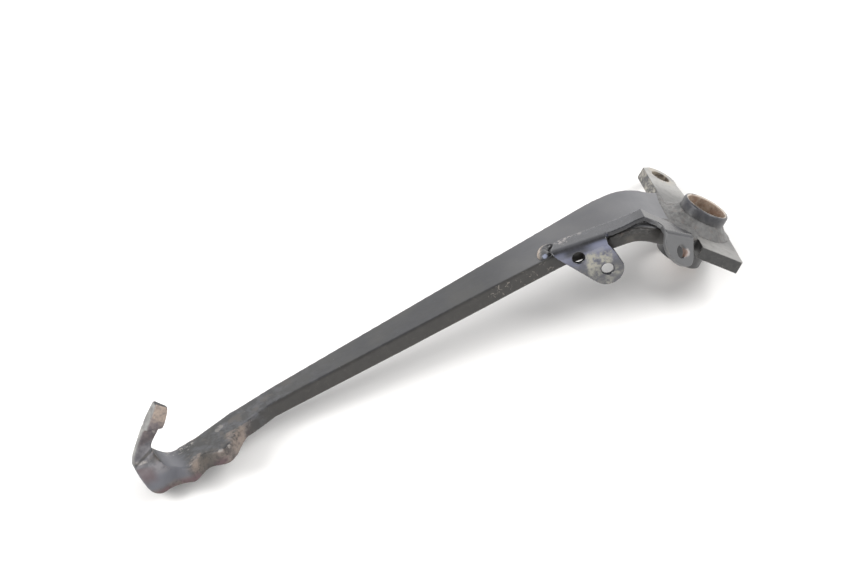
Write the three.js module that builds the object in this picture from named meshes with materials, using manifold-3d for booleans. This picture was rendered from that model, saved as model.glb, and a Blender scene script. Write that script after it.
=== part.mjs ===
// Foot brake pedal, a welded steel part with no loose hardware: a bent and tapered arm with a toothed
// toe hook, a cross plate with a lever ear and a stop tail, a pivot tube, a sheet bracket and weld beads.
//
// Everything is built in the hub frame: the pivot axis is z, z = 0 is the upper face of the cross plate,
// x points towards the arm and y towards the stop tail. The finished group is then turned so the pedal
// lies on a flat surface, +Z up. Millimetres.
import * as THREE from 'three'
import { mergeVertices } from 'three/addons/utils/BufferGeometryUtils.js'
import Module from 'manifold-3d'

const wasm = await Module()
wasm.setup()

// ---------- driving dimensions ----------
const gap = 0.3 // clearance kept between neighbouring pieces
const boreRadius = 10 // pivot tube
const tubeRadius = 11.75
const tubeTop = 10
const tubeBottom = -19.5
const plateThickness = 6.5 // cross plate
const plateArmSide = 16.2
const plateOuterSide = -17.2
const earHoleX = 7.2
const earHoleY = -49
const earHoleRadius = 5
const earRadius = 8.9
const tailEnd = 30
const tailInner = 5.5
const armThickness = 8 // arm
const treadThickness = 7.2
const armStart = plateArmSide + gap
const bendStart = 27.5
const bendRadius = 25 // on the upper, convex face
const bendAngle = THREE.MathUtils.degToRad(44)
const armSlope = Math.atan(0.36) // how far the straight part leans towards the toothed side
const treadStart = 240 // unrolled length at which the tread begins
const treadCentre = 73.6 // sideways position of the arm's middle there
const toothPitch = 17
const toothDepth = 2.1
const toothPhase = 12 // forward position of the first tooth's tip
const toothFlare = 1.1 // the teeth stand out further at the tread's underside
const toothLine = 18.3
const sheet = 2.2 // bracket
const longTabBend = 2 // inner radii of its two bends
const shortTabBend = 1.2
const bracketHole = 2.85
const weldToe = 18.2 // outer radius of the weld round the tube
const weldTop = 4.6

// ---------- helpers ----------
const vec = (x, y, z) => new THREE.Vector3(x, y, z)

function toSolid(geometry) {
  const plain = geometry.clone()
  plain.deleteAttribute('normal')
  plain.deleteAttribute('uv')
  const welded = mergeVertices(plain, 1e-4)
  return new wasm.Manifold(new wasm.Mesh({
    numProp: 3,
    vertProperties: new Float32Array(welded.attributes.position.array),
    triVerts: new Uint32Array(welded.index.array),
  }))
}

function toGeometry(solid) {
  const mesh = solid.getMesh()
  const geometry = new THREE.BufferGeometry()
  geometry.setAttribute('position', new THREE.BufferAttribute(new Float32Array(mesh.vertProperties), 3))
  geometry.setIndex(new THREE.BufferAttribute(new Uint32Array(mesh.triVerts), 1))
  return geometry
}

// A frame with its origin and its three axes, as a matrix.
function frameAt(origin, xAxis, yAxis, zAxis) {
  return new THREE.Matrix4().makeBasis(xAxis, yAxis, zAxis).setPosition(origin)
}

// Straight extrusion of a flat outline from z = low to z = high.
function slab(shape, low, high) {
  const settings = { depth: high - low, bevelEnabled: false, curveSegments: 14 }
  return new THREE.ExtrudeGeometry(shape, settings).translate(0, 0, low)
}

function rod(radius, low, high, x = 0, y = 0) {
  const shape = new THREE.Shape().absarc(x, y, radius, 0, Math.PI * 2, false)
  const settings = { depth: high - low, bevelEnabled: false, curveSegments: 24 }
  return toSolid(new THREE.ExtrudeGeometry(shape, settings).translate(0, 0, low))
}

// Closed skin through a row of closed sections that all have the same number of points.
function loft(sections) {
  const count = sections[0].length
  const points = sections.flat()
  const index = []
  for (let row = 0; row + 1 < sections.length; row += 1) {
    for (let i = 0; i < count; i += 1) {
      const a = row * count + i
      const b = row * count + (i + 1) % count
      index.push(a, b, a + count, b, b + count, a + count)
    }
  }
  for (let i = 1; i + 1 < count; i += 1) {
    const last = (sections.length - 1) * count
    index.push(0, i + 1, i)
    index.push(last, last + i, last + i + 1)
  }
  const geometry = new THREE.BufferGeometry().setFromPoints(points)
  geometry.setIndex(index)
  return geometry
}

// Four corners of a bar's section, each cut back by a small chamfer.
function chamfered(corners, chamfer) {
  const ring = []
  for (let i = 0; i < corners.length; i += 1) {
    const corner = corners[i]
    const before = corners[(i + corners.length - 1) % corners.length]
    const after = corners[(i + 1) % corners.length]
    ring.push(corner.clone().add(before.clone().sub(corner).setLength(chamfer)))
    ring.push(corner.clone().add(after.clone().sub(corner).setLength(chamfer)))
  }
  return ring
}

// ---------- arm ----------
const bendLength = bendRadius * bendAngle
const along = vec(Math.cos(bendAngle), 0, -Math.sin(bendAngle)) // down the straight part of the arm
const across = vec(0, 1, 0)
const armNormal = vec(Math.sin(bendAngle), 0, Math.cos(bendAngle))

// Point of the bent arm: distance along it, sideways position, height over its upper face.
function onArm(distance, side, height) {
  const angle = Math.min(Math.max((distance - bendStart) / bendRadius, 0), bendAngle)
  const reach = bendRadius + height
  const point = vec(Math.min(distance, bendStart), side, 0)
  point.x += reach * Math.sin(angle)
  point.z += reach * Math.cos(angle) - bendRadius
  const rest = Math.max(distance - bendStart - bendLength, 0)
  return point.addScaledVector(along, rest)
}

const slopeCos = Math.cos(armSlope)
const slopeSin = Math.sin(armSlope)
const treadForward = along.clone().multiplyScalar(slopeCos).addScaledVector(across, slopeSin)
const treadSide = across.clone().multiplyScalar(slopeCos).addScaledVector(along, -slopeSin)
const treadOrigin = onArm(treadStart, treadCentre, 0)

// Point of the tread: forward, sideways towards the teeth, height over the upper face.
function onTread(forward, side, height) {
  return treadOrigin.clone()
    .addScaledVector(treadForward, forward)
    .addScaledVector(treadSide, side)
    .addScaledVector(armNormal, height)
}

// Toothed side of the tread: a fillet out of the arm, then a wave.
function toothedSide(forward) {
  const wave = toothLine + toothDepth * Math.cos((forward - toothPhase) / toothPitch * 2 * Math.PI)
  const blend = THREE.MathUtils.smoothstep(forward, -2, 7.5)
  return THREE.MathUtils.lerp(9.9, wave, blend)
}

const farSide = (forward) => -5.4 + Math.max(forward, 0) * 0.24 - Math.max(forward - 19, 0) * 0.2

const lowerEdge = [ // toothed-side edge of the arm near the hub: distance, side
  [armStart, 22], [19.5, 24.6], [23, 27], [27.5, 28.7], [33, 29.2], [39, 29.3], [46.7, 29.4],
  [62, 29.5], [76, 29.5],
]
const upperEdge = [ // opposite edge
  [armStart, -22], [19.5, -19.1], [23, -16.7], [27.5, -14.4], [33, -12.5], [39, -11.2], [46.7, -10.3],
  [54, -9], [62, -6.3],
]

function edgeAt(table, distance) {
  for (let i = 0; i + 1 < table.length; i += 1) {
    if (distance <= table[i + 1][0]) {
      const share = (distance - table[i][0]) / (table[i + 1][0] - table[i][0])
      return THREE.MathUtils.lerp(table[i][1], table[i + 1][1], Math.max(share, 0))
    }
  }
  return null
}

function armEdges(distance) {
  const straightLower = 5.4 + 0.31 * distance
  const straightUpper = -31.6 + 0.41 * distance
  return [edgeAt(upperEdge, distance) ?? straightUpper, edgeAt(lowerEdge, distance) ?? straightLower]
}

// The toe hook in the tread's own plane: inner point, outer point (forward, height), far and toothed side.
const hook = [
  [[29, 0], [29, -7.2], 0, 20.2],
  [[31.5, 0.4], [33.3, -7], -0.1, 17.8],
  [[33.8, 1.7], [38.5, -7], -0.2, 16.2],
  [[35.9, 4], [43.6, -6.8], -0.2, 17.2],
  [[37.2, 6], [47.1, -4.4], 0.2, 15.7],
  [[38, 7.8], [48.4, 0.8], 1, 12.8],
  [[38.2, 9.2], [48.7, 4.6], 1.6, 9.6],
  [[38.1, 10], [48.6, 5.9], 1.7, 8.9],
  [[37.8, 10.6], [48, 7.2], 1.8, 6.9],
  [[37, 11.6], [46.6, 9.8], 1.9, 6.3],
  [[34.9, 13.4], [43, 14], 1.9, 6],
  [[32.6, 15.4], [39.9, 17.6], 2.1, 6.4],
  [[30.9, 17], [38, 19.8], 2.3, 7],
  [[30, 17.8], [37, 20.7], 2.5, 10.2],
  [[28, 20], [34.7, 23.4], 3, 10.8],
  [[25.9, 22.8], [31.8, 26.2], 3.6, 10.8],
  [[24.4, 25.2], [28.9, 29.2], 4.8, 10.6],
  [[24.2, 25.8], [28, 30.1], 5.8, 10.4],
]
const hookInside = new THREE.CatmullRomCurve3(
  hook.map(([inner, , far]) => vec(inner[0], inner[1], far)), false, 'catmullrom', 0.5)
const hookOutside = new THREE.CatmullRomCurve3(
  hook.map(([, outer, , near]) => vec(outer[0], outer[1], near)), false, 'catmullrom', 0.5)

function armGeometry() {
  const sections = []
  const stations = [armStart, 19.5, 23, 27.5]
  for (let i = 1; i <= 8; i += 1) stations.push(bendStart + bendLength * i / 8)
  stations.push(54, 62, 70, 76, 78.5, 120, 160, 180, 200, 222)
  for (const distance of stations) {
    const [upper, lower] = armEdges(distance)
    const thinning = THREE.MathUtils.smoothstep(distance, 150, 240)
    const thickness = THREE.MathUtils.lerp(armThickness, treadThickness, thinning)
    sections.push(chamfered([
      onArm(distance, upper, 0),
      onArm(distance, upper, -thickness),
      onArm(distance, lower, -thickness),
      onArm(distance, lower, 0),
    ], 0.7))
  }
  for (let forward = -4; forward <= 28; forward += 1.25) {
    const far = farSide(forward)
    const near = toothedSide(forward)
    const flare = toothFlare * THREE.MathUtils.smoothstep(forward, -2, 7.5)
    sections.push(chamfered([
      onTread(forward, far, 0),
      onTread(forward, far, -treadThickness),
      onTread(forward, near + flare, -treadThickness - flare / 8),
      onTread(forward, near, 0),
    ], 0.7))
  }
  const hookSteps = 3 * (hook.length - 1)
  for (let i = 0; i <= hookSteps; i += 1) {
    const share = i / hookSteps
    const inside = hookInside.getPoint(share)
    const outside = hookOutside.getPoint(share)
    const flare = toothFlare * Math.max(0, 1 - share * 5)
    const tip = 3 * THREE.MathUtils.smoothstep(share, 0.88, 1) // the tip's far inner corner is rounded off
    sections.push(chamfered([
      onTread(inside.x, inside.z + tip, inside.y),
      onTread(outside.x, inside.z, outside.y - flare / 8),
      onTread(outside.x, outside.z + flare, outside.y - flare / 8),
      onTread(inside.x, outside.z, inside.y),
    ], 0.7))
  }
  return loft(sections)
}

// ---------- cross plate ----------
function crossPlateSolid() {
  const shape = new THREE.Shape()
  shape.moveTo(plateArmSide, 20.5)
  shape.lineTo(tailInner + 3, 20.5)
  shape.absarc(tailInner + 3, 23.5, 3, -Math.PI / 2, -Math.PI, true)
  shape.lineTo(tailInner, tailEnd)
  shape.lineTo(plateOuterSide + 1.5, tailEnd)
  shape.quadraticCurveTo(plateOuterSide, tailEnd, plateOuterSide, tailEnd - 1.5)
  shape.lineTo(plateOuterSide - 0.6, 4)
  shape.absarc(0, 0, 18.2, Math.PI * 0.93, Math.PI * 1.2, false)
  shape.lineTo(-3.4, -33)
  shape.lineTo(-1.6, -44)
  shape.absarc(earHoleX, earHoleY, earRadius, Math.PI * 1.02, Math.PI * 1.78, false)
  shape.lineTo(plateArmSide + 0.6, -52.5)
  shape.lineTo(plateArmSide, -24)
  shape.closePath()
  let plate = toSolid(slab(shape, -plateThickness, 0))
  plate = plate.subtract(rod(tubeRadius + gap, -plateThickness - 1, 1))
  return plate.subtract(rod(earHoleRadius, -plateThickness - 1, 1, earHoleX, earHoleY))
}

// ---------- pivot tube ----------
function tubeGeometry() {
  const bevel = 0.6
  const profile = [
    [boreRadius + 0.5, tubeBottom],
    [tubeRadius - bevel, tubeBottom],
    [tubeRadius, tubeBottom + bevel],
    [tubeRadius, tubeTop - bevel],
    [tubeRadius - bevel, tubeTop],
    [boreRadius + 0.5, tubeTop],
    [boreRadius, tubeTop - 0.5],
    [boreRadius, tubeBottom + 0.5],
    [boreRadius + 0.5, tubeBottom],
  ].map(([r, z]) => new THREE.Vector2(r, z))
  return new THREE.LatheGeometry(profile, 56).rotateX(Math.PI / 2)
}

// ---------- bracket ----------
// It folds twice: over the arm's bend, and down over the arm's lower edge into two drilled tabs.
const seat = gap // underside of the sheet over the arm's face
// distance 0 on the straight part's plane
const straightOrigin = onArm(100, 0, 0).addScaledVector(along, -100)
const straightFrame = frameAt(straightOrigin, along, across, armNormal)

function polygon(points) {
  const shape = new THREE.Shape()
  points.forEach(([x, y], i) => (i ? shape.lineTo(x, y) : shape.moveTo(x, y)))
  shape.closePath()
  return shape
}

// The rounded strip between a sheet and its fold, running along +x of its frame for the given length;
// +y is outwards, +z the sheet's normal. It turns downwards by the angle, reaches a little way into the
// flat on both sides, and is a hair thinner than the sheet so it never shares a face with it.
function fold(length, angle, radius) {
  const hair = 0.03
  const reach = 0.8
  const outer = radius + sheet - hair
  const inner = radius + hair
  const shape = new THREE.Shape()
  const turned = (reachOut, beyond) => [
    reachOut * Math.sin(angle) + beyond * Math.cos(angle),
    reachOut * Math.cos(angle) - beyond * Math.sin(angle),
  ]
  shape.moveTo(-reach, outer)
  shape.absarc(0, 0, outer, Math.PI / 2, Math.PI / 2 - angle, true)
  shape.lineTo(...turned(outer, reach))
  shape.lineTo(...turned(inner, reach))
  shape.absarc(0, 0, inner, Math.PI / 2 - angle, Math.PI / 2, false)
  shape.lineTo(-reach, inner)
  shape.closePath()
  const geometry = new THREE.ExtrudeGeometry(shape, {
    depth: length - 2 * hair, bevelEnabled: false, curveSegments: 8,
  })
  const turn = new THREE.Matrix4().makeBasis(vec(0, 1, 0), vec(0, 0, 1), vec(1, 0, 0))
  return geometry.applyMatrix4(turn).translate(hair, 0, -radius - sheet)
}

// A tab hanging from a fold line given on the sheet's upper face, built in its own frame:
// x along the fold line, y down the tab, z through the sheet.
function tab(start, end, normal, angle, radius, outline, holes, cut = null) {
  const x = end.clone().sub(start).normalize()
  const outward = x.clone().cross(normal)
  if (outward.y < 0) outward.negate()
  const length = start.distanceTo(end)
  const outer = radius + sheet
  const foldFrame = frameAt(start, x, outward, normal)
  const hang = outward.clone().multiplyScalar(Math.cos(angle)).addScaledVector(normal, -Math.sin(angle))
  const face = outward.clone().multiplyScalar(Math.sin(angle)).addScaledVector(normal, Math.cos(angle))
  const pivot = start.clone().addScaledVector(normal, -outer)
  const tabFrame = frameAt(pivot.clone().addScaledVector(face, radius), x, hang, face)
  let blank = orient(toSolid(slab(outline, 0, sheet)), tabFrame)
  let bend = orient(toSolid(fold(length, angle, radius)), foldFrame)
  if (cut) bend = bend.subtract(orient(toSolid(slab(cut, -8, 8)), tabFrame))
  for (const [hx, hy] of holes) {
    const mouth = new THREE.CylinderGeometry(bracketHole + 1.2, bracketHole, 1.2, 28)
    mouth.rotateX(Math.PI / 2).translate(hx, hy, sheet + 0.1)
    const drill = orient(rod(bracketHole, -2, sheet + 1, hx, hy).add(toSolid(mouth)), tabFrame)
    blank = blank.subtract(drill)
    bend = bend.subtract(drill)
  }
  return [blank, bend]
}

// Moves a solid by a matrix, keeping it right side out when the matrix mirrors.
function orient(solid, matrix) {
  const geometry = toGeometry(solid).applyMatrix4(matrix)
  if (matrix.determinant() < 0) {
    const index = geometry.index.array
    for (let i = 0; i < index.length; i += 3) {
      const keep = index[i]
      index[i] = index[i + 1]
      index[i + 1] = keep
    }
  }
  return toSolid(geometry)
}

function bracketSolid() {
  const creaseX = 38.7
  const creaseDistance = 35.6
  // flange over the straight part of the arm
  const lowerFlange = polygon([
    [creaseDistance, 19.4], [42, 20.8], [50, 21.4], [66, 21.7], [74, 22.1], [78, 22.8], [79.4, 23.9],
    [81.8, 29.6], [55.4, 30.4], [54.2, 31.1], [52.4, 31.4], [46, 30.6], [40, 28.9], [creaseDistance, 28.5],
  ])
  const lower = orient(toSolid(slab(lowerFlange, seat, seat + sheet)), straightFrame)
  // flange over the hub end
  const upperFlange = polygon([
    [creaseX, 19.4], [31, 20.9], [24, 21.1], [16.5, 20], [12.4, 20.2], [10.4, 22], [12, 26.4], [29, 33.9],
    [29.3, 30.2], [31.4, 28.2], [creaseX, 28.5],
  ])
  const upper = toSolid(slab(upperFlange, seat, seat + sheet))
  // long tab, below the straight part
  const startA = vec(81.8, 29.6, seat + sheet).applyMatrix4(straightFrame)
  const endA = vec(55.4, 30.4, seat + sheet).applyMatrix4(straightFrame)
  const outlineA = new THREE.Shape()
  outlineA.moveTo(2.6, 0)
  outlineA.lineTo(16.1, 17.5)
  outlineA.absarc(22.4, 12.4, 8.1, Math.PI * 0.785, 0, true)
  outlineA.lineTo(28.4, 4.4)
  outlineA.lineTo(26.4, 0)
  outlineA.closePath()
  // the sheet's edge crosses the bend askew
  const slant = polygon([[3.4, 1.04], [0, -3.4], [0, -8], [-4, -8], [-4, 4]])
  const holesA = [[11.4, 1.9], [22.7, 12.4]]
  const partsA = tab(startA, endA, armNormal.clone(), Math.PI / 2, longTabBend, outlineA, holesA, slant)
  // short tab, beside the pivot tube
  const startB = vec(29, 33.9, seat + sheet)
  const endB = vec(12, 26.4, seat + sheet)
  const outlineB = new THREE.Shape()
  outlineB.moveTo(0, 0)
  outlineB.lineTo(-0.4, 3.5)
  outlineB.quadraticCurveTo(0.2, 10.8, 10.6, 13.2)
  outlineB.quadraticCurveTo(18.6, 14.4, 18.8, 8)
  outlineB.lineTo(18.4, 0)
  outlineB.closePath()
  const angleB = THREE.MathUtils.degToRad(50)
  const partsB = tab(startB, endB, vec(0, 0, 1), angleB, shortTabBend, outlineB, [[10.4, 6.6]])
  let bracket = lower.add(upper)
  for (const piece of [...partsA, ...partsB]) bracket = bracket.add(piece)
  return bracket
}

// ---------- weld beads ----------
// Fillet round the tube: a lathe profile with a soft, slightly hollow flank.
function ringWeld(foot, toe, rise) {
  const inner = tubeRadius + gap
  const side = Math.sign(rise)
  const profile = [
    [inner, foot],
    [toe, foot],
    [toe - 0.5, foot + side * 0.6],
    [THREE.MathUtils.lerp(toe, inner, 0.45), foot + rise * 0.34],
    [THREE.MathUtils.lerp(toe, inner, 0.8), foot + rise * 0.72],
    [inner + 0.25, foot + rise],
    [inner, foot + rise],
    [inner, foot],
  ].map(([r, z]) => new THREE.Vector2(r, z))
  if (side < 0) profile.reverse()
  return new THREE.LatheGeometry(profile, 48).rotateX(Math.PI / 2)
}

// Bead on a flat seat: a rippled half-oval section swept through the path, flat side down.
function bead(path, up, width, height, ripple) {
  const curve = new THREE.CatmullRomCurve3(path)
  const steps = Math.max(8, Math.round(curve.getLength() / 1.1))
  const sections = []
  for (let i = 0; i <= steps; i += 1) {
    const share = i / steps
    const centre = curve.getPointAt(share)
    const forward = curve.getTangentAt(share)
    const side = up.clone().cross(forward).normalize()
    const end = Math.sqrt(Math.max(0.06, 1 - (2 * share - 1) ** 8))
    const swell = end * (1 + ripple * Math.sin(i * 1.9))
    const ring = []
    for (let k = 0; k <= 6; k += 1) {
      const turn = Math.PI * k / 6
      ring.push(centre.clone()
        .addScaledVector(side, Math.cos(turn) * width / 2 * swell)
        .addScaledVector(up, Math.sin(turn) * height * swell))
    }
    sections.push(ring)
  }
  return loft(sections)
}

// ---------- assembly ----------
const hubFrame = new THREE.Group()
hubFrame.name = 'hub_frame'

function addNode(name, geometry, color, roughness, metalness) {
  const mesh = new THREE.Mesh(geometry, new THREE.MeshStandardMaterial({ color, roughness, metalness }))
  mesh.name = name
  hubFrame.add(mesh)
}

const paint = 0x26272b
const weldPaint = 0x333230
const bareSteel = 0x6d625a

addNode('arm', armGeometry(), paint, 0.45, 0.2)
addNode('cross_plate', toGeometry(crossPlateSolid()), paint, 0.5, 0.2)
addNode('pivot_tube', tubeGeometry(), bareSteel, 0.5, 0.6)
addNode('bracket', toGeometry(bracketSolid()), paint, 0.35, 0.25)
addNode('weld_tube_top', ringWeld(gap, weldToe, weldTop), weldPaint, 0.6, 0.3)
addNode('weld_tube_bottom', ringWeld(-plateThickness - gap, 15.8, -4), weldPaint, 0.6, 0.3)

const up = vec(0, 0, 1)
const down = vec(0, 0, -1)
const seamX = plateArmSide + gap / 2
addNode('weld_seam_top', bead(
  [vec(seamX, -20.5, gap), vec(seamX, -15, gap), vec(seamX, -10.6, gap)], up, 4.2, 0.8, 0.05),
weldPaint, 0.6, 0.3)
const underSeat = -armThickness - gap
addNode('weld_seam_under', bead(
  [vec(19.6, -18.5, underSeat), vec(19.6, 0, underSeat), vec(19.6, 21, underSeat)], down, 5.2, 2, 0.06),
weldPaint, 0.6, 0.3)
const frontLine = [[79.6, 20], [82.7, 19.9], [85.2, 21.9], [86.2, 25.4], [85.6, 29.4]]
const frontBead = frontLine.map(([d, s]) => onArm(d, s, gap))
addNode('weld_bracket_front', bead(frontBead, armNormal.clone(), 4.6, 2.4, 0.03), weldPaint, 0.6, 0.3)
const notchBead = [[55, 29.75], [47, 29.7], [40, 29.6], [33, 29.5]].map(([d, s]) => onArm(d, s, -1.9))
addNode('weld_bracket_edge', bead(notchBead, across.clone(), 3, 1.2, 0.12), weldPaint, 0.6, 0.3)
addNode('weld_bracket_hub', bead(
  [vec(24, 18.7, gap), vec(19, 17.6, gap), vec(13.6, 17.4, gap), vec(8, 18.9, gap)], up, 3.4, 2.4, 0.08),
weldPaint, 0.6, 0.3)

// Lying pose: the tread, the lower rim of the tube and the end of the ear rest on the surface. The plane
// through the lowest point of each is found again until it settles.
function lowestPoint(name, upward) {
  const position = hubFrame.getObjectByName(name).geometry.attributes.position
  const lowest = vec(0, 0, 0)
  const point = vec(0, 0, 0)
  let least = Infinity
  for (let i = 0; i < position.count; i += 1) {
    point.fromBufferAttribute(position, i)
    const height = point.dot(upward)
    if (height < least) {
      least = height
      lowest.copy(point)
    }
  }
  return lowest
}

const upward = vec(0.45, 0.31, 0.84).normalize()
const feet = []
for (let round = 0; round < 8; round += 1) {
  feet.length = 0
  for (const name of ['arm', 'pivot_tube', 'cross_plate']) feet.push(lowestPoint(name, upward))
  const normal = feet[1].clone().sub(feet[0]).cross(feet[2].clone().sub(feet[0])).normalize()
  if (normal.dot(upward) < 0) normal.negate()
  upward.copy(normal)
}
const towardsHub = feet[1].clone().sub(feet[0]).normalize()
const sideways = upward.clone().cross(towardsHub)
hubFrame.applyMatrix4(new THREE.Matrix4().makeBasis(towardsHub, sideways, upward).transpose())

const pedal = new THREE.Group()
pedal.name = 'brake_pedal'
pedal.add(hubFrame)
const box = new THREE.Box3().setFromObject(pedal, true)
const middle = box.getCenter(vec(0, 0, 0))
hubFrame.position.set(-middle.x, -middle.y, -box.min.z)

export default pedal
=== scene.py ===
# Looks for the welded foot brake pedal: worn black paint, surface rust, dust and weld texture.
# Metres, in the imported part's own frame.
import math

import bmesh
import bpy
from mathutils import Matrix, Vector, noise


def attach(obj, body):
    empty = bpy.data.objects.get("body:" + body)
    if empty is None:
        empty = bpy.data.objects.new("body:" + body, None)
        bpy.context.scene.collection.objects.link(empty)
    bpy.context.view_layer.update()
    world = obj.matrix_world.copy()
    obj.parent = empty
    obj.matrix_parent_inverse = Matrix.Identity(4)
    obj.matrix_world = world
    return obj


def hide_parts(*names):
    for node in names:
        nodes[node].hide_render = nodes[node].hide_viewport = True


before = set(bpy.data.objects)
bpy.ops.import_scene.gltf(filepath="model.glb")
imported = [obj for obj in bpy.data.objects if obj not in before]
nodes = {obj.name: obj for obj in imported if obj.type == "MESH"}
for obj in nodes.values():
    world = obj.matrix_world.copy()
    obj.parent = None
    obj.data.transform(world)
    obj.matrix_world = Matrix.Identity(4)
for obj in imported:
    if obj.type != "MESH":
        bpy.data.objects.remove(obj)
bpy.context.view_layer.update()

# ---------- the hub frame: pivot axis z, x towards the arm, y towards the stop tail ----------
HUB_ORIGIN = Vector((0.136872, -0.010569, 0.022407))
HUB_X = Vector((-0.768078, 0.449219, 0.456353))
HUB_Y = Vector((-0.333787, -0.889042, 0.313354))
HUB_Z = Vector((0.546481, 0.088356, 0.832797))
BEND = math.radians(44)
BEND_START = 27.5  # distance from the pivot axis to the arm's bend, in millimetres
BEND_RADIUS = 25


def hub(x, y, z):
    """A point given in the hub frame in millimetres."""
    return HUB_ORIGIN + (HUB_X * x + HUB_Y * y + HUB_Z * z) / 1000


ALONG = HUB_X * math.cos(BEND) - HUB_Z * math.sin(BEND)
ARM_UP = HUB_X * math.sin(BEND) + HUB_Z * math.cos(BEND)
BEND_END = hub(BEND_START + BEND_RADIUS * math.sin(BEND), 0, BEND_RADIUS * (math.cos(BEND) - 1))
BEND_LENGTH = BEND_START + BEND_RADIUS * BEND


def on_arm(distance, side, height=0):
    """A point over the straight part of the arm: unrolled distance, side and height in millimetres."""
    return BEND_END + (ALONG * (distance - BEND_LENGTH) + HUB_Y * side + ARM_UP * height) / 1000


SLOPE = math.atan(0.36)  # the tread leans this much from the arm's line
FORWARD = ALONG * math.cos(SLOPE) + HUB_Y * math.sin(SLOPE)
TOOTHED = HUB_Y * math.cos(SLOPE) - ALONG * math.sin(SLOPE)
TREAD = on_arm(240, 73.6)


def on_tread(forward, side, height=0):
    """A point of the tread: forward, towards the teeth, over its upper face, in millimetres."""
    return TREAD + (FORWARD * forward + TOOTHED * side + ARM_UP * height) / 1000


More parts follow.
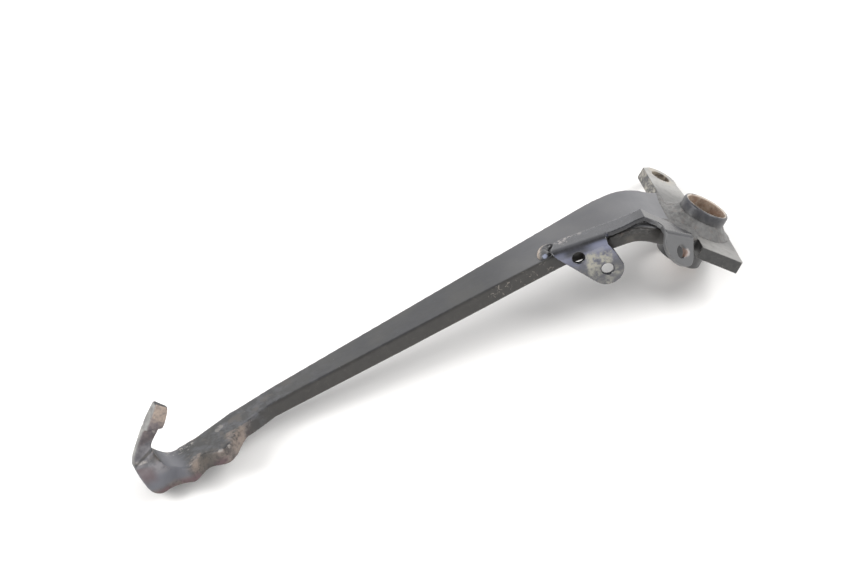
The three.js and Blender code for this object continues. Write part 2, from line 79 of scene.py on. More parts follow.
# ---------- material building ----------
class Shader:
    """A small writer of node trees. Positions are the piece's own, in the row frame."""

    def __init__(self, name):
        self.material = bpy.data.materials.new(name)
        self.material.use_nodes = True
        self.tree = self.material.node_tree
        self.tree.nodes.clear()
        self.place = self.node("ShaderNodeTexCoord").outputs["Object"]

    def node(self, kind, **settings):
        made = self.tree.nodes.new(kind)
        for key, value in settings.items():
            setattr(made, key, value)
        return made

    def plug(self, socket, value):
        if isinstance(value, bpy.types.NodeSocket):
            self.tree.links.new(value, socket)
        elif hasattr(value, "__len__") and len(value) == 3 and len(socket.default_value) == 4:
            socket.default_value = (*value, 1)
        else:
            socket.default_value = value

    def math(self, operation, a, b=0.0, clamp=False):
        made = self.node("ShaderNodeMath", operation=operation, use_clamp=clamp)
        self.plug(made.inputs[0], a)
        self.plug(made.inputs[1], b)
        return made.outputs[0]

    def noise(self, size, detail=3.0, rough=0.55, warp=0.0, shift=0.0):
        """Noise from 0 to 1 whose features are about size millimetres across."""
        made = self.node("ShaderNodeTexNoise", noise_dimensions="4D")
        self.plug(made.inputs["Vector"], self.place)
        self.plug(made.inputs["W"], shift)
        self.plug(made.inputs["Scale"], 1000 / size)
        self.plug(made.inputs["Detail"], detail)
        self.plug(made.inputs["Roughness"], rough)
        self.plug(made.inputs["Distortion"], warp)
        return made.outputs["Fac"]

    def cells(self, size):
        """Distance from the centres of round cells about size millimetres across."""
        made = self.node("ShaderNodeTexVoronoi", feature="F1")
        self.plug(made.inputs["Vector"], self.place)
        self.plug(made.inputs["Scale"], 1000 / size)
        return made.outputs["Distance"]

    def step(self, value, low, high, to_low=0.0, to_high=1.0):
        """Smooth step of a value between two thresholds."""
        made = self.node("ShaderNodeMapRange", interpolation_type="SMOOTHSTEP")
        self.plug(made.inputs["Value"], value)
        self.plug(made.inputs["From Min"], low)
        self.plug(made.inputs["From Max"], high)
        self.plug(made.inputs["To Min"], to_low)
        self.plug(made.inputs["To Max"], to_high)
        return made.outputs["Result"]

    def blend(self, share, a, b):
        made = self.node("ShaderNodeMix", data_type="RGBA")
        self.plug(made.inputs[0], share)
        self.plug(made.inputs[6], a)
        self.plug(made.inputs[7], b)
        return made.outputs[2]

    def dot(self, point, direction):
        """Signed distance in millimetres along a direction from a point."""
        shifted = self.node("ShaderNodeVectorMath", operation="SUBTRACT")
        self.plug(shifted.inputs[0], self.place)
        shifted.inputs[1].default_value = point
        made = self.node("ShaderNodeVectorMath", operation="DOT_PRODUCT")
        self.plug(made.inputs[0], shifted.outputs[0])
        made.inputs[1].default_value = direction.normalized() * 1000
        return made.outputs["Value"]

    def facing(self, direction):
        """How far the surface faces a direction, from -1 to 1."""
        normal = self.node("ShaderNodeTexCoord").outputs["Normal"]
        made = self.node("ShaderNodeVectorMath", operation="DOT_PRODUCT")
        self.plug(made.inputs[0], normal)
        made.inputs[1].default_value = direction.normalized()
        return made.outputs["Value"]

    def near(self, point, radius, ragged=0.5, size=3.0):
        """A ragged patch: 1 at the point, 0 past the radius in millimetres."""
        made = self.node("ShaderNodeVectorMath", operation="DISTANCE")
        self.plug(made.inputs[0], self.place)
        made.inputs[1].default_value = point
        reach = self.math("MULTIPLY", made.outputs["Value"], 1000 / radius)
        wobble = self.math("MULTIPLY", self.math("SUBTRACT", self.noise(size, 4, 0.6), 0.5), 2 * ragged)
        return self.step(self.math("ADD", reach, wobble), 0.55, 1.05, 1.0, 0.0)

    def any(self, *masks):
        """The strongest of several masks."""
        total = masks[0]
        for mask in masks[1:]:
            total = self.math("MAXIMUM", total, mask)
        return total

    def times(self, *factors):
        """The product of masks and numbers."""
        total = factors[0]
        for factor in factors[1:]:
            total = self.math("MULTIPLY", total, factor)
        return total

    def plus(self, *terms):
        """The sum of masks and numbers."""
        total = terms[0]
        for term in terms[1:]:
            total = self.math("ADD", total, term)
        return total

    def edges(self, low, high):
        """Outer edges of the surface, from its own curvature."""
        pointed = self.node("ShaderNodeNewGeometry").outputs["Pointiness"]
        return self.step(pointed, low, high)

    def finish(self, colour, roughness, height, relief, coat=0.0, coat_roughness=0.2, level=0.5):
        """The surface shader. relief is the bump's depth in millimetres."""
        surface = self.node("ShaderNodeBsdfPrincipled")
        self.plug(surface.inputs["Base Color"], colour)
        self.plug(surface.inputs["Roughness"], roughness)
        surface.inputs["Specular IOR Level"].default_value = level
        surface.inputs["Coat Weight"].default_value = coat
        surface.inputs["Coat Roughness"].default_value = coat_roughness
        bump = self.node("ShaderNodeBump")
        bump.inputs["Distance"].default_value = relief / 1000
        bump.inputs["Strength"].default_value = 1.0
        self.plug(bump.inputs["Height"], height)
        self.plug(surface.inputs["Normal"], bump.outputs["Normal"])
        out = self.node("ShaderNodeOutputMaterial")
        self.tree.links.new(surface.outputs[0], out.inputs["Surface"])
        return self.material


RUST = (0.135, 0.060, 0.030)
DARK_RUST = (0.050, 0.028, 0.020)


def arm_material():
    """Satin black, thinned and stained towards the tread, with brown teeth and a rubbed pale hook; painted
    sheen, highlight and shade on the hook, heel, teeth and bend.
    """
    s = Shader("arm_paint")
    forward = s.dot(TREAD, FORWARD)
    height = s.dot(TREAD, ARM_UP)
    along = s.dot(on_arm(0, 0), ALONG)
    soft = s.noise(17, 3, 0.5)
    mottle = s.noise(4.5, 5, 0.62, 0.3, 1.0)
    fine = s.noise(1.5, 4, 0.6, 0.0, 2.0)
    grain = s.noise(0.5, 2, 0.5, 0.0, 3.0)
    tread = s.step(forward, -55, 0)
    toothed_face = s.step(s.facing(TOOTHED), 0.35, 0.75)

    # satin paint: slow changes of tone, thinner and greyer at the tread
    colour = s.blend(s.step(soft, 0.35, 0.65), (0.015, 0.015, 0.017), (0.024, 0.023, 0.021))
    thin = s.plus(s.times(tread, 0.75), 0.12)
    colour = s.blend(s.times(s.step(mottle, 0.42, 0.66), thin), colour, (0.070, 0.071, 0.078))
    browned = s.times(s.step(s.noise(7, 4, 0.6, 0.5, 4.0), 0.52, 0.64), tread, 0.7)
    colour = s.blend(browned, colour, (0.060, 0.050, 0.042))
    dots = s.times(s.step(fine, 0.66, 0.72), s.step(s.noise(11, 2, 0.5, 0, 5.0), 0.48, 0.60))
    colour = s.blend(s.times(dots, 0.6), colour, (0.16, 0.155, 0.15))
    pits = s.times(s.step(s.noise(2.1, 3, 0.6, 0, 6.0), 0.66, 0.72), tread)
    colour = s.blend(s.times(pits, 0.8), colour, (0.014, 0.012, 0.011))

    # a pale haze that grows towards the hub, partly dust and partly painted sheen at the bend; the flank
    # below it is darker, with dried crumbs
    arm_dust_and_sheen = s.plus(s.times(s.step(along, 120, 80), 0.22), s.times(s.step(along, 62, 27), 0.25))
    arm_dust_and_sheen = s.times(arm_dust_and_sheen, s.step(s.facing(HUB_Y), 0.6, 0.2), s.step(soft, 0.1, 0.7, 0.8, 1.15))
    colour = s.blend(arm_dust_and_sheen, colour, (0.245, 0.245, 0.258))

    flank = s.times(s.step(s.facing(HUB_Y), 0.45, 0.8), s.step(forward, -4, -16))
    colour = s.blend(flank, colour, s.blend(mottle, (0.014, 0.013, 0.012), (0.038, 0.035, 0.031)))
    caked = s.any(
        s.near(on_arm(97, 36, -3), 13, 0.5, 5),
        s.near(on_arm(110, 40, -4), 8, 0.5, 5),
        s.near(on_arm(84, 32, -5), 6, 0.5, 4),
    )
    crumbled = s.step(s.noise(2.6, 5, 0.68, 0.9, 7.0), 0.56, 0.64)
    crumbs = s.times(flank, crumbled, s.plus(s.times(caked, 0.60), 0.06))
    colour = s.blend(crumbs, colour, (0.20, 0.175, 0.15))
    stain = s.times(flank, s.near(on_arm(44, 29.3, -5.5), 4.6, 0.6, 4), s.step(mottle, 0.35, 0.6), 0.2)
    colour = s.blend(stain, colour, (0.17, 0.15, 0.12))

    # brown, dusty flanks of the teeth
    teeth = s.times(toothed_face, s.step(forward, -9, 3), s.step(height, 2.5, 0))
    brown = s.blend(s.step(mottle, 0.36, 0.64), (0.055, 0.047, 0.043), (0.165, 0.135, 0.118))
    reddish = s.times(s.step(s.noise(6, 3, 0.5, 0.3, 8.0), 0.46, 0.60), s.step(height, -2.5, -5.5))
    brown = s.blend(reddish, brown, (0.095, 0.058, 0.062))
    brown = s.blend(s.times(s.step(fine, 0.52, 0.64), 0.55), brown, (0.035, 0.030, 0.028))
    colour = s.blend(s.times(teeth, 0.92), colour, brown)
    flush = s.any(s.near(on_tread(2.5, 15, -2), 7, 0.8, 3), s.near(on_tread(23, 18, -2), 5.5, 0.8, 3))
    flush = s.times(flush, s.step(s.plus(s.times(mottle, 0.5), s.times(fine, 0.5)), 0.38, 0.56), 0.62)
    colour = s.blend(flush, colour, s.blend(fine, (0.175, 0.135, 0.105), (0.27, 0.215, 0.175)))
    # painted shade: darker in the hollow between the first two teeth
    valley_shade = s.times(teeth, s.near(on_tread(19.5, 16, -3), 6, 0.5, 4), 0.6)
    colour = s.blend(valley_shade, colour, (0.040, 0.040, 0.036))
    # painted sheen: the tread's heel is painted a lighter blue-grey
    heel_sheen = s.times(s.step(forward, 26, 32), s.step(height, -5.6, -2.6), s.step(height, 7, 4))
    heel_sheen = s.times(heel_sheen, s.step(mottle, 0.25, 0.5, 0.6, 1.0))
    colour = s.blend(heel_sheen, colour, s.blend(soft, (0.072, 0.073, 0.084), (0.125, 0.126, 0.142)))

    # hook: stained hollow lightened by painted sheen, pale rubbed tip, outer face painted pale as painted
    # sheen
    hooked = s.step(height, 1.0, 4.5)
    stain_and_sheen = s.blend(s.step(mottle, 0.38, 0.62), (0.084, 0.080, 0.087), (0.160, 0.152, 0.158))
    colour = s.blend(s.times(hooked, toothed_face), colour, stain_and_sheen)
    plum = s.times(toothed_face, s.step(height, 5.8, 5.0), s.step(height, -2.0, 2.0))
    plum = s.times(plum, s.step(forward, 40, 44), 0.7)
    colour = s.blend(plum, colour, (0.085, 0.055, 0.058))
    land = s.times(toothed_face, s.step(height, 12.5, 14.5))
    reach = s.plus(height, s.times(s.math("SUBTRACT", mottle, 0.5), 9))
    cream = s.times(land, s.step(reach, 16.5, 21.5), s.near(on_tread(26.6, 10.5, 25), 7.4, 0.7, 3))
    patchy = s.step(mottle, 0.35, 0.65)
    colour = s.blend(land, colour, s.blend(patchy, (0.085, 0.074, 0.082), (0.175, 0.145, 0.14)))
    colour = s.blend(s.times(land, s.step(height, 17.5, 14.5), 0.5), colour, (0.060, 0.050, 0.052))
    creamy = s.blend(s.step(fine, 0.35, 0.65), (0.37, 0.295, 0.235), (0.19, 0.155, 0.135))
    colour = s.blend(s.times(cream, 0.8), colour, creamy)
    # painted sheen: the hook's outer face painted pale grey
    outer = s.times(s.step(s.facing(FORWARD), 0.45, 0.8), s.step(height, 4, 10))
    pale_sheen = s.blend(patchy, (0.14, 0.137, 0.137), (0.31, 0.305, 0.285))
    colour = s.blend(s.times(outer, 0.85), colour, pale_sheen)

    # rubbed edges and chips, and a painted highlight along the hook's ridge
    ragged = s.step(s.noise(2.2, 5, 0.7, 0.4, 9.0), 0.44, 0.60)
    rim = s.times(s.edges(0.52, 0.57), ragged, s.plus(s.times(tread, 0.7), 0.12))
    colour = s.blend(rim, colour, s.blend(mottle, (0.20, 0.17, 0.15), (0.13, 0.105, 0.09)))
    worn = s.any(
        s.near(on_tread(8.5, 20, 0.2), 2.0, 0.9, 1.2),
        s.near(on_tread(13.5, 19.6, 0.2), 1.6, 0.9, 1.2),
        s.near(on_tread(27.5, 17.5, 0.2), 1.6, 0.9, 1.2),
        s.near(on_tread(34.2, 8, 16.5), 2.2, 0.8, 1.2),
    )
    # painted highlight: a pale line along the hook's ridge
    ridge_highlight = s.times(toothed_face, s.step(height, 6.5, 6.9), s.step(height, 7.9, 7.4))
    broken = s.step(s.noise(1.8, 4, 0.65, 0.3, 13.0), 0.36, 0.52)
    ridge_highlight = s.times(ridge_highlight, s.step(forward, 42, 44), broken, 0.8)
    streaks = s.any(s.near(on_tread(30, 1.5, 0.5), 6, 0.5, 2.2), s.near(on_tread(25, 2, 0), 5, 0.5, 2.2))
    nick = s.any(s.near(on_tread(7.2, 2.2, 0), 1.9, 0.9, 1.2), s.near(on_tread(9.2, 3.4, 0), 1.7, 0.9, 1.2))
    pale = s.any(
        ridge_highlight,
        s.times(worn, s.step(s.noise(1.6, 4, 0.65, 0.3, 10.0), 0.42, 0.58), 0.6),
        s.times(streaks, s.step(s.noise(2.0, 5, 0.7, 1.2, 11.0), 0.50, 0.62), 0.8),
        s.times(nick, 0.4),
    )
    colour = s.blend(pale, colour, s.blend(fine, (0.42, 0.39, 0.36), (0.25, 0.23, 0.21)))

    cover = s.any(crumbs, teeth, s.times(hooked, 0.8), pale, rim, arm_dust_and_sheen, stain)
    roughness = s.plus(s.times(s.math("SUBTRACT", mottle, 0.5), 0.16), 0.34)
    roughness = s.plus(roughness, s.times(tread, 0.07))
    roughness = s.math("ADD", roughness, s.times(cover, 0.28), True)
    relief = s.plus(s.times(s.noise(5, 3, 0.5, 0, 12.0), 0.35), s.times(grain, 0.06))
    relief = s.plus(relief, s.times(crumbs, 0.5))
    relief = s.plus(relief, s.times(s.any(teeth, hooked), mottle, 0.7))
    relief = s.math("SUBTRACT", relief, s.times(pits, 0.35))
    return s.finish(colour, roughness, relief, relief=0.16)


def plate_material():
    """Dusty grey-black plate: ear and tail tops pale with dust and painted sheen, darker round the tube,
    stained edges.
    """
    s = Shader("plate_paint")
    outward = s.dot(HUB_ORIGIN, HUB_Y)
    mottle = s.noise(4.0, 5, 0.65, 0.3, 1.0)
    fine = s.noise(1.3, 4, 0.65, 0.0, 2.0)
    grain = s.noise(0.6, 3, 0.6, 0.0, 3.0)
    top = s.step(s.facing(HUB_Z), 0.5, 0.85)
    ear = s.step(outward, -20, -40)
    tail = s.step(outward, 12, 22)

    colour = s.blend(s.step(mottle, 0.40, 0.62), (0.030, 0.029, 0.028), (0.062, 0.060, 0.057))
    # the upper faces painted pale, strongest on the ear and tail: partly dust, partly painted sheen
    plate_dust_and_sheen = s.plus(0.16, s.plus(s.times(ear, 0.68), s.times(tail, 0.34)))
    plate_dust_and_sheen = s.times(top, plate_dust_and_sheen, s.step(s.plus(s.times(mottle, 0.6), s.times(fine, 0.4)), 0.10, 0.55))
    colour = s.blend(plate_dust_and_sheen, colour, (0.40, 0.39, 0.37))

    # sides darker, speckled with dry dirt; the tail's end is darker
    side = s.step(s.facing(HUB_Z), 0.6, 0.3)
    colour = s.blend(s.times(side, 0.75), colour, (0.022, 0.022, 0.022))
    dirty = s.step(s.plus(s.times(s.noise(4.2, 5, 0.7, 0.4, 4.0), 0.7), s.times(fine, 0.3)), 0.47, 0.57)
    earthy = s.times(side, dirty, s.plus(s.times(s.step(outward, 0, -30), 0.88), 0.04))
    earth = s.blend(s.step(fine, 0.35, 0.65), (0.145, 0.136, 0.115), (0.315, 0.298, 0.262))
    colour = s.blend(earthy, colour, earth)
    crust = s.times(side, s.step(s.noise(2.0, 4, 0.65, 0, 5.0), 0.62, 0.70), 0.55)
    colour = s.blend(crust, colour, (0.16, 0.145, 0.125))

    # brown wall of the ear's hole, stains round it and rubbed edges
    wall = s.times(side, s.near(hub(7.2, -49, -3), 9.8, 0.0))
    tarnish = s.blend(mottle, (0.055, 0.042, 0.033), (0.16, 0.125, 0.095))
    colour = s.blend(s.times(wall, 0.85), colour, tarnish)
    stain = s.times(s.near(hub(7.2, -49, 0), 9.5, 0.5, 3), s.step(mottle, 0.40, 0.60), 0.6)
    colour = s.blend(stain, colour, (0.40, 0.345, 0.265))
    rusty = s.times(s.step(s.noise(2.4, 4, 0.7, 0.3, 6.0), 0.66, 0.73), 0.5)
    colour = s.blend(rusty, colour, s.blend(grain, DARK_RUST, RUST))
    rim = s.times(s.edges(0.52, 0.57), s.step(s.noise(2.6, 5, 0.7, 0.4, 7.0), 0.42, 0.60), 0.5)
    colour = s.blend(rim, colour, (0.30, 0.28, 0.25))

    cover = s.any(s.times(plate_dust_and_sheen, 0.8), earthy, rusty, crust)
    roughness = s.math("ADD", 0.36, s.times(cover, 0.34), True)
    relief = s.plus(s.times(grain, 0.16), s.times(mottle, 0.5))
    relief = s.plus(relief, s.times(s.any(earthy, crust), 0.5))
    relief = s.math("SUBTRACT", relief, s.times(rusty, 0.3))
    return s.finish(colour, roughness, relief, relief=0.14)


def bracket_material():
    """Gloss black sheet: painted blue-grey reflection and painted highlights on the long tab and flange,
    dried mud on the tabs, paint rubbed through on the edges.
    """
    s = Shader("bracket_paint")
    mottle = s.noise(4.0, 5, 0.62, 0.3, 1.0)
    fine = s.noise(1.3, 4, 0.6, 0.0, 2.0)
    grain = s.noise(0.5, 2, 0.5, 0.0, 3.0)
    along = s.dot(on_arm(0, 0), ALONG)
    below = s.times(s.dot(on_arm(0, 0, 0.3), ARM_UP), -1)
    long_tab = s.times(s.step(s.facing(HUB_Y), 0.75, 0.95), s.step(below, 1.2, 3.2))
    beside_hub = s.dot(HUB_ORIGIN, HUB_X)
    sunk = s.dot(HUB_ORIGIN, HUB_Z)
    short_tab = s.times(s.step(beside_hub, 36, 32), s.step(s.facing(HUB_Z), 0.85, 0.72))

    colour = s.blend(s.step(mottle, 0.40, 0.62), (0.012, 0.012, 0.014), (0.022, 0.022, 0.026))
    # painted reflection: the long tab lighter, its upper part blue-grey
    upper = s.times(long_tab, s.step(below, 13, 6))
    colour = s.blend(s.times(long_tab, 0.85), colour, (0.070, 0.071, 0.080))
    colour = s.blend(s.times(upper, s.step(mottle, 0.2, 0.6)), colour, (0.105, 0.110, 0.158))
    # painted highlight: a light-blue band low on the long tab's fold
    blue_highlight = s.times(s.step(s.facing(HUB_Y), 0.60, 0.88), s.step(below, 5.2, 3.0), s.step(below, -3, 0.5))
    blue_highlight = s.times(blue_highlight, s.step(beside_hub, 30, 40), s.step(along, 53.6, 55.4))
    ends = s.any(s.step(along, 68, 60), s.times(s.step(along, 74, 78), 0.6))
    blue_highlight = s.times(blue_highlight, s.plus(ends, 0.15), 0.7)
    colour = s.blend(blue_highlight, colour, (0.16, 0.17, 0.235))
    # painted highlight on the flange's flat top
    flat_highlight = s.times(s.step(s.facing(ARM_UP), 0.85, 0.95), s.step(along, 34, 44), 0.12)
    colour = s.blend(flat_highlight, colour, (0.20, 0.20, 0.215))
    dusty = s.blend(mottle, (0.070, 0.070, 0.071), (0.092, 0.092, 0.093))
    colour = s.blend(s.times(short_tab, 0.9), colour, dusty)

    # dried mud between the long tab's holes
    patch = s.any(
        s.near(on_arm(65.6, 34, -7), 5.4, 0.6, 3),
        s.near(on_arm(58.6, 34.2, -7.4), 4.4, 0.6, 3),
        s.times(s.near(on_arm(64.5, 34, -12.5), 5.2, 0.6, 3), 0.7),
        s.times(s.near(on_arm(55.2, 34.2, -16), 3.6, 0.6, 3), 0.6),
        s.times(s.near(on_arm(60, 34.2, -19.6), 3.4, 0.6, 3), 0.6),
    )
    blotch = s.step(s.plus(s.times(mottle, 0.6), s.times(fine, 0.4)), 0.42, 0.57)
    smears = s.times(s.step(s.noise(5, 5, 0.7, 0.4, 4.0), 0.50, 0.62), 0.25)
    muddy = s.times(long_tab, s.any(s.times(patch, blotch), smears))
    colour = s.blend(muddy, colour, s.blend(mottle, (0.22, 0.215, 0.175), (0.34, 0.325, 0.275)))

    # paint rubbed through: along the flange's edge, the long tab's free edge and the short tab's hole
    rim = s.edges(0.53, 0.60)
    line = s.any(
        s.near(on_arm(77.5, 22.8, 2.5), 3.2, 0.4, 2),
        s.near(on_arm(73, 22.2, 2.5), 3.2, 0.4, 2),
        s.near(on_arm(68, 21.8, 2.5), 3.2, 0.4, 2),
        s.near(on_arm(75, 25.6, 2.5), 2.6, 0.5, 2),
    )
    rubbed = s.times(line, s.step(s.noise(1.8, 4, 0.65, 0.5, 5.0), 0.46, 0.58), 0.75)
    free_edge = s.times(rim, s.step(along, 62, 66), s.step(below, 1.0, 3.0), 0.8)
    hole_edge = s.near(hub(13.6, 34.7, -3.9), 2.3, 0.5, 1.2)
    low_edge = s.times(rim, s.step(sunk, -1.5, -4), s.step(beside_hub, 34, 31))
    low_edge = s.times(low_edge, s.step(beside_hub, 14, 20), 0.7)
    rubbed = s.any(rubbed, free_edge, hole_edge, low_edge, s.times(rim, s.step(mottle, 0.52, 0.66), 0.4))
    colour = s.blend(rubbed, colour, s.blend(fine, (0.34, 0.33, 0.34), (0.26, 0.22, 0.19)))
    rusty = s.times(s.near(hub(14.8, 34.6, -4.6), 2.4, 0.5, 1.2), 0.7)
    colour = s.blend(rusty, colour, RUST)

    cover = s.any(muddy, rubbed, rusty)
    roughness = s.plus(s.times(s.any(long_tab, short_tab), 0.10), 0.22)
    roughness = s.plus(roughness, s.times(s.math("SUBTRACT", mottle, 0.5), 0.10))
    roughness = s.math("ADD", roughness, s.times(cover, 0.45), True)
    relief = s.plus(s.times(s.noise(6, 2, 0.5, 0, 6.0), 0.35), s.times(grain, 0.05))
    relief = s.plus(relief, s.times(muddy, s.plus(s.times(fine, 0.5), 0.4)))
    return s.finish(colour, roughness, relief, relief=0.14, coat=0.25, coat_roughness=0.12)


def tube_material():
    """The pivot tube: thin paint outside, a ring of bare metal at the rim and rust in the bore."""
    s = Shader("tube_paint")
    axial = s.dot(HUB_ORIGIN, HUB_Z)
    across = s.node("ShaderNodeVectorMath", operation="CROSS_PRODUCT")
    shifted = s.node("ShaderNodeVectorMath", operation="SUBTRACT")
    s.plug(shifted.inputs[0], s.place)
    shifted.inputs[1].default_value = HUB_ORIGIN
    s.plug(across.inputs[0], shifted.outputs[0])
    across.inputs[1].default_value = HUB_Z * 1000
    length = s.node("ShaderNodeVectorMath", operation="LENGTH")
    s.plug(length.inputs[0], across.outputs[0])
    radius = length.outputs["Value"]

    mottle = s.noise(3.4, 5, 0.65, 0.3)
    fine = s.noise(1.2, 4, 0.65, 0, 1.0)
    grain = s.noise(0.6, 3, 0.6, 0, 2.0)
    rings = s.node("ShaderNodeTexWave", wave_type="BANDS", bands_direction="X")
    combined = s.node("ShaderNodeCombineXYZ")
    s.plug(combined.inputs[0], axial)
    s.plug(rings.inputs["Vector"], combined.outputs[0])
    s.plug(rings.inputs["Scale"], 0.9)
    s.plug(rings.inputs["Distortion"], 1.2)
    s.plug(rings.inputs["Detail"], 2.0)

    paint = s.blend(s.step(mottle, 0.40, 0.62), (0.020, 0.020, 0.026), (0.044, 0.043, 0.047))
    paint = s.blend(s.times(s.step(fine, 0.62, 0.70), 0.35), paint, (0.12, 0.11, 0.10))
    low = s.times(s.step(axial, 8.2, 4.8), 0.5)
    paint = s.blend(low, paint, (0.085, 0.084, 0.080))
    rust = s.blend(s.step(mottle, 0.35, 0.65), (0.165, 0.100, 0.064), (0.35, 0.250, 0.178))
    rust = s.blend(s.times(s.step(fine, 0.48, 0.64), 0.4), rust, (0.48, 0.42, 0.35))
    orange = s.times(s.step(s.noise(5, 4, 0.6, 0.3, 3.0), 0.50, 0.60), 0.8)
    rust = s.blend(orange, rust, (0.215, 0.095, 0.052))
    inside = s.step(s.plus(radius, s.times(s.math("SUBTRACT", mottle, 0.5), 0.5)), 10.35, 10.15)
    colour = s.blend(inside, paint, rust)
    rim = s.times(s.step(radius, 10.9, 10.6), s.step(radius, 9.9, 10.2), s.step(mottle, 0.25, 0.5))
    colour = s.blend(rim, colour, s.blend(mottle, (0.62, 0.56, 0.49), (0.42, 0.36, 0.30)))
    edge = s.times(s.edges(0.515, 0.55), s.step(s.noise(2.2, 4, 0.7, 0, 4.0), 0.46, 0.62), 0.4)
    colour = s.blend(edge, colour, (0.26, 0.25, 0.24))
    bare = s.any(inside, rim, edge)
    roughness = s.math("ADD", 0.33, s.times(bare, 0.3), True)
    relief = s.plus(s.times(grain, 0.15), s.times(mottle, 0.35))
    relief = s.plus(relief, s.times(rings.outputs["Fac"], inside, 0.12))
    return s.finish(colour, roughness, relief, relief=0.12)


def weld_material(name, base, light, rusty, grit, shade_share):
    """Painted weld metal with grit and a little rust in its hollows, and painted shade on its side towards
    the tail.
    """
    s = Shader(name)
    mottle = s.noise(3.0, 5, 0.65, 0.3)
    fine = s.noise(1.0, 4, 0.65, 0, 1.0)
    drops = s.cells(1.5)
    spatter = s.near(hub(15, -9, 0.5), 11, 0.5, 4)
    colour = s.blend(s.step(mottle, 0.38, 0.64), base, light)
    grains = s.times(s.step(fine, 0.50, 0.64), s.plus(s.times(spatter, 0.35), grit))
    colour = s.blend(grains, colour, (0.30, 0.29, 0.27))
    pits = s.times(s.step(s.noise(1.7, 4, 0.7, 0, 3.0), 0.62, 0.70), 0.7)
    colour = s.blend(pits, colour, (0.030, 0.028, 0.026))
    # painted shade: darker on the side towards the tail and the bracket
    dark = s.times(s.step(s.dot(HUB_ORIGIN, HUB_Y), 5, 15), s.step(mottle, 0.2, 0.5, 0.7, 1.0), shade_share)
    colour = s.blend(dark, colour, (0.050, 0.048, 0.046))
    brown = s.times(s.step(s.noise(3.2, 5, 0.7, 0.4, 2.0), 0.52, 0.64), rusty)
    colour = s.blend(brown, colour, s.blend(fine, DARK_RUST, (0.24, 0.14, 0.09)))
    roughness = s.math("ADD", 0.40, s.times(s.any(brown, fine), 0.25), True)
    height = s.plus(s.times(fine, 0.35), s.times(mottle, 0.5))
    height = s.plus(height, s.times(spatter, s.step(drops, 0.0, 0.6, 1.0, 0.0), 0.8))
    return s.finish(colour, roughness, height, relief=0.16)


def bead_material():
    """The short bead round the bracket's nose: dark paint, worn through to pale scale on its outer side."""
    s = Shader("bead_weld_paint")
    mottle = s.noise(2.6, 5, 0.65, 0.3)
    fine = s.noise(0.9, 4, 0.65, 0, 1.0)
    colour = s.blend(s.step(mottle, 0.38, 0.62), (0.016, 0.016, 0.019), (0.050, 0.049, 0.050))
    outside = s.step(s.facing(ALONG * 0.6 - HUB_Y), 0.0, 0.4)
    worn = s.times(outside, s.step(s.plus(s.times(mottle, 0.5), s.times(fine, 0.5)), 0.34, 0.54))
    scale = s.blend(s.step(fine, 0.35, 0.65), (0.235, 0.17, 0.125), (0.46, 0.41, 0.36))
    colour = s.blend(worn, colour, scale)
    # painted highlight: a blue-white glint at the bead's lower end
    blue_glint = s.near(on_arm(84.6, 31.0, 1.2), 1.6, 0.6, 1.5)
    colour = s.blend(s.times(blue_glint, 0.7), colour, (0.30, 0.33, 0.44))
    roughness = s.math("ADD", 0.28, s.times(worn, 0.35), True)
    height = s.plus(s.times(fine, 0.3), s.times(mottle, 0.4))
    return s.finish(colour, roughness, height, relief=0.12)


# ---------- shapes ----------
RING_STEPS = 160  # sections round the tube's weld
RING_ROOT = 11.6  # radius of the weld's inner side, just inside the tube's skin
BEAD_STEPS = 8  # sections between two stations of a bead
BEAD_ROOT = 0.5  # how deep a bead's base sits under its stations


def refine(obj, voxel, passes, dent=0.0, dent_size=20.0):
    """Rounds a CAD node's edges a little and gives its faces the slight unevenness of hot-worked steel."""
    remesh = obj.modifiers.new("remesh", "REMESH")
    remesh.mode = "VOXEL"
    remesh.voxel_size = voxel / 1000
    remesh.use_smooth_shade = True
    smooth = obj.modifiers.new("smooth", "SMOOTH")
    smooth.factor = 0.5
    smooth.iterations = passes
    if dent:
        texture = bpy.data.textures.new(obj.name + "_dents", "CLOUDS")
        texture.noise_scale = dent_size / 1000
        texture.noise_depth = 1
        displace = obj.modifiers.new("dents", "DISPLACE")
        displace.texture = texture
        displace.texture_coords = "LOCAL"
        displace.strength = dent / 1000
        displace.mid_level = 0.8


def dress(name, material):
    """Gives a CAD node its material and nothing else."""
    obj = nodes[name]
    obj.data.materials.clear()
    obj.data.materials.append(material)
    return obj


def piece(name, rows, material, slot, *stands_for, closed=False):
    """A smooth skin through rows of points. Each row is a loop; closed joins the last row to the first."""
    mesh = bpy.data.meshes.new(name)
    shape = bmesh.new()
    loops = [[shape.verts.new(point) for point in row] for row in rows]
    count = len(rows[0])
    pairs = list(zip(loops, loops[1:]))
    if closed:
        pairs.append((loops[-1], loops[0]))
    for one, two in pairs:
        for i in range(count):
            j = (i + 1) % count
            shape.faces.new((one[i], one[j], two[j], two[i]))
    if not closed:
        shape.faces.new(loops[0])
        shape.faces.new(loops[-1])
    bmesh.ops.recalc_face_normals(shape, faces=shape.faces)
    for face in shape.faces:
        face.smooth = True
    shape.to_mesh(mesh)
    shape.free()
    mesh.materials.append(material)
    obj = bpy.data.objects.new(name, mesh)
    bpy.context.scene.collection.objects.link(obj)
    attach(obj, "root")
    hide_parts(*stands_for)
    return obj


def wobble(place, size, seed):
    """Smooth noise from -1 to 1, the same every time."""
    return noise.noise(place * (1000 / size) + Vector((seed, 0, 0)))


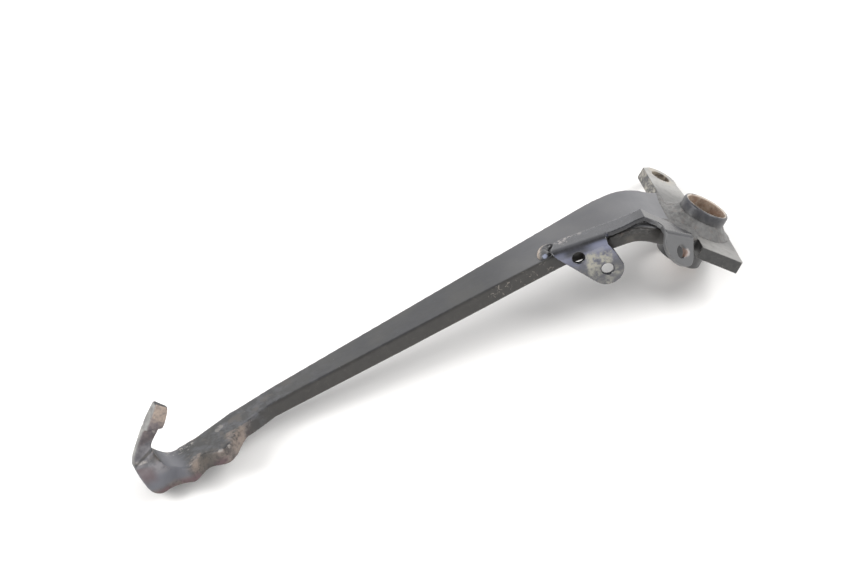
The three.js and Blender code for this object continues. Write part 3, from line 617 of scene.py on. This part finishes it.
def ring_fillet(name, foot, rise, toe, lean, material, stands_for):
    """The weld round the tube: a hollow flank that runs out onto the plate. Millimetres in the hub frame."""
    rows = []
    for i in range(RING_STEPS):
        turn = 2 * math.pi * i / RING_STEPS
        direction = Vector((math.cos(turn), math.sin(turn)))
        probe = hub(direction.x * 15, direction.y * 15, foot)
        outer = toe + lean * direction.x + 0.35 * wobble(probe, 6, 3.0) + 0.08 * math.sin(turn * 44)
        crest = rise * (1 + 0.06 * wobble(probe, 5, 9.0) + 0.015 * math.sin(turn * 44 + 1))
        row = []
        for k in range(13):
            share = k / 12
            radius = RING_ROOT + (outer - RING_ROOT) * share
            level = foot + crest * (1 - share) ** 1.35 - math.copysign(0.10, rise) * share
            ripple = wobble(hub(direction.x * radius, direction.y * radius, level), 2.2, 5.0)
            bump = 0.10 * ripple * math.sin(math.pi * share)
            row.append(hub(direction.x * radius, direction.y * radius, level + math.copysign(bump, rise)))
        sunk = foot - math.copysign(0.8, rise)
        row.append(hub(direction.x * (outer - 0.6), direction.y * (outer - 0.6), sunk))
        row.append(hub(direction.x * RING_ROOT, direction.y * RING_ROOT, sunk))
        rows.append(row)
    return piece(name, rows, material, "weld_paint", stands_for, closed=True)


def through(p, q, r, w, t):
    """The point at share t of the way from q to r, on a smooth curve that comes from p and goes on to w."""
    square = (2 * p - 5 * q + 4 * r - w) * t * t
    cube = (3 * q - p - 3 * r + w) * t ** 3
    return 0.5 * (2 * q + (r - p) * t + square + cube)


def run(name, stations, upward, material, slot, stands_for, lumps, seed):
    """A weld bead through stations of (point, width, height), rounded on top. Widths in millimetres."""
    points = []
    for i in range(len(stations) - 1):
        before = stations[max(i - 1, 0)]
        a, b = stations[i], stations[i + 1]
        after = stations[min(i + 2, len(stations) - 1)]
        for step in range(BEAD_STEPS):
            t = step / BEAD_STEPS
            place = through(before[0], a[0], b[0], after[0], t)
            points.append((place, a[1] + (b[1] - a[1]) * t, a[2] + (b[2] - a[2]) * t))
    points.append(stations[-1])
    rows = []
    for i, (centre, width, height) in enumerate(points):
        tangent = (points[min(i + 1, len(points) - 1)][0] - points[max(i - 1, 0)][0]).normalized()
        side = upward.cross(tangent).normalized()
        end = min(i, len(points) - 1 - i) / 3
        taper = 1 if end >= 1 else math.sqrt(max(0.05, 1 - (1 - end) ** 2))
        row = []
        for k in range(11):
            turn = math.pi * k / 10
            swell = taper * (1 + lumps * wobble(centre + side * (0.001 * math.cos(turn)), 2.6, seed))
            out = math.cos(turn) * width / 2 * swell
            lift = math.sin(turn) ** 1.3 * height * swell
            row.append(centre + side * (out / 1000) + upward * ((lift - 0.05) / 1000))
        for k in (1, -1):
            row.append(centre + side * (k * -width * 0.3 * taper / 1000) - upward * (BEAD_ROOT / 1000))
        rows.append(row)
    return piece(name, rows, material, slot, stands_for)


# ---------- the pedal ----------
refine(dress("arm", arm_material()), voxel=0.55, passes=2, dent=0.12, dent_size=30)
refine(dress("cross_plate", plate_material()), voxel=0.45, passes=2, dent=0.12, dent_size=16)
refine(dress("bracket", bracket_material()), voxel=0.36, passes=2)
refine(dress("pivot_tube", tube_material()), voxel=0.36, passes=1)

ring_paint = weld_material(
    "ring_weld_paint", (0.080, 0.079, 0.077), (0.160, 0.158, 0.153), rusty=0.18, grit=0.22, shade_share=0.6)
seam_paint = weld_material(
    "seam_weld_paint", (0.070, 0.069, 0.067), (0.125, 0.124, 0.120), rusty=0.15, grit=0.25, shade_share=0.45)
dark_paint = weld_material(
    "dark_weld_paint", (0.014, 0.013, 0.012), (0.032, 0.030, 0.028), rusty=0.12, grit=0.08, shade_share=0.0)

ring_fillet("ring_weld", 0.05, 4.9, 18.0, 0.9, ring_paint, "weld_tube_top")
ring_fillet("ring_weld_under", -6.55, -4.0, 15.8, 0.3, ring_paint, "weld_tube_bottom")

# where the arm's end meets the plate, on the upper face
seam = [
    (hub(16.4, -20.9, 0), 1.6, 0.15),
    (hub(16.4, -18, 0), 3.4, 0.4),
    (hub(16.6, -12, 0), 4.6, 0.5),
    (hub(17, -6, 0), 4.6, 0.5),
    (hub(17.2, 4, 0), 4.6, 0.5),
    (hub(16.8, 12, 0), 4.6, 0.5),
    (hub(16.6, 18.6, 0), 3.4, 0.4),
]
run("seam_weld", seam, HUB_Z, seam_paint, "weld_paint", "weld_seam_top", lumps=0.12, seed=2.0)

# along the bracket's edge beside the tube
hub_side = [
    (hub(30, 21.0, 0.2), 3.0, 1.0),
    (hub(24, 20.2, 0.2), 7.4, 2.6),
    (hub(18, 20.2, 0.2), 11.2, 3.1),
    (hub(13, 20.8, 0.2), 12.2, 3.3),
    (hub(9.6, 21.8, 0.2), 10.6, 3.2),
    (hub(6.8, 23.2, 0), 7.0, 2.2),
]
run("hub_side_weld", hub_side, HUB_Z, seam_paint, "weld_bare", "weld_bracket_hub", lumps=0.10, seed=7.0)

# round the bracket's nose on the arm
nose = [
    (on_arm(79.4, 21.8), 1.8, 1.0),
    (on_arm(81.2, 21.2), 3.4, 1.6),
    (on_arm(83.4, 22.0), 4.8, 2.1),
    (on_arm(84.8, 23.9), 5.6, 2.4),
    (on_arm(85.3, 26.3), 6.2, 2.6),
    (on_arm(84.9, 28.6), 6.4, 2.6),
    (on_arm(84.2, 30.4), 5.6, 2.3),
]
run("nose_weld", nose, ARM_UP, bead_material(), "weld_bare", "weld_bracket_front", lumps=0.07, seed=4.0)

refine(dress("weld_seam_under", seam_paint), voxel=0.25, passes=2)
refine(dress("weld_bracket_edge", dark_paint), voxel=0.25, passes=2)


# ---------- stage ----------
def floor_material():
    s = Shader("floor_paint")
    soft = s.noise(400, 2, 0.5)
    colour = s.blend(soft, (0.875, 0.862, 0.842), (0.895, 0.882, 0.862))
    return s.finish(colour, 0.6, soft, relief=0.0, level=0.2)


mesh = bpy.data.meshes.new("floor")
shape = bmesh.new()
bmesh.ops.create_grid(shape, x_segments=8, y_segments=8, size=3.0)
shape.to_mesh(mesh)
shape.free()
floor = bpy.data.objects.new("floor", mesh)
bpy.context.scene.collection.objects.link(floor)
mesh.materials.append(floor_material())


MIDDLE = Vector((0, 0, 0.02))  # what the lamps face


def lamp(name, place, size, power):
    """A round soft light."""
    light = bpy.data.lights.new(name, "AREA")
    light.shape = "DISK"
    light.size = size
    light.energy = power
    obj = bpy.data.objects.new(name, light)
    bpy.context.scene.collection.objects.link(obj)
    obj.location = place
    obj.rotation_euler = (MIDDLE - Vector(place)).to_track_quat("-Z", "Y").to_euler()


lamp("key", (-1.15, 0.35, 0.95), size=0.9, power=17)
lamp("second", (1.05, -0.25, 1.1), size=1.1, power=15)

# a pale sky, brighter towards the horizon
world = bpy.data.worlds.new("studio")
world.use_nodes = True
sky = world.node_tree
coordinates = sky.nodes.new("ShaderNodeTexCoord")
split = sky.nodes.new("ShaderNodeSeparateXYZ")
sky.links.new(coordinates.outputs["Generated"], split.inputs[0])
level = sky.nodes.new("ShaderNodeMapRange")
level.interpolation_type = "SMOOTHSTEP"
level.inputs["From Min"].default_value = 0.2
level.inputs["From Max"].default_value = 0.75
level.inputs["To Min"].default_value = 1.45
level.inputs["To Max"].default_value = 0.6
sky.links.new(split.outputs["Z"], level.inputs["Value"])
background = sky.nodes["Background"]
background.inputs["Color"].default_value = (0.98, 0.985, 1.0, 1)
sky.links.new(level.outputs["Result"], background.inputs["Strength"])
bpy.context.scene.world = world
bpy.context.scene.view_settings.view_transform = "Standard"

# ---------- camera ----------
camera_data = bpy.data.cameras.new("camera")
camera_data.lens = 62.79
camera_data.sensor_width = 36
camera = bpy.data.objects.new("camera", camera_data)
bpy.context.scene.collection.objects.link(camera)
eye = Vector((-0.20429, -0.41994, 0.54125))
right = Vector((0.88969, -0.45585, -0.02546))
up = Vector((0.34995, 0.64507, 0.67927))
back = Vector((-0.29322, -0.61325, 0.73344))
turn = Matrix((right, up, back)).transposed()
camera.matrix_world = Matrix.Translation(eye) @ turn.to_4x4()
bpy.context.scene.camera = camera
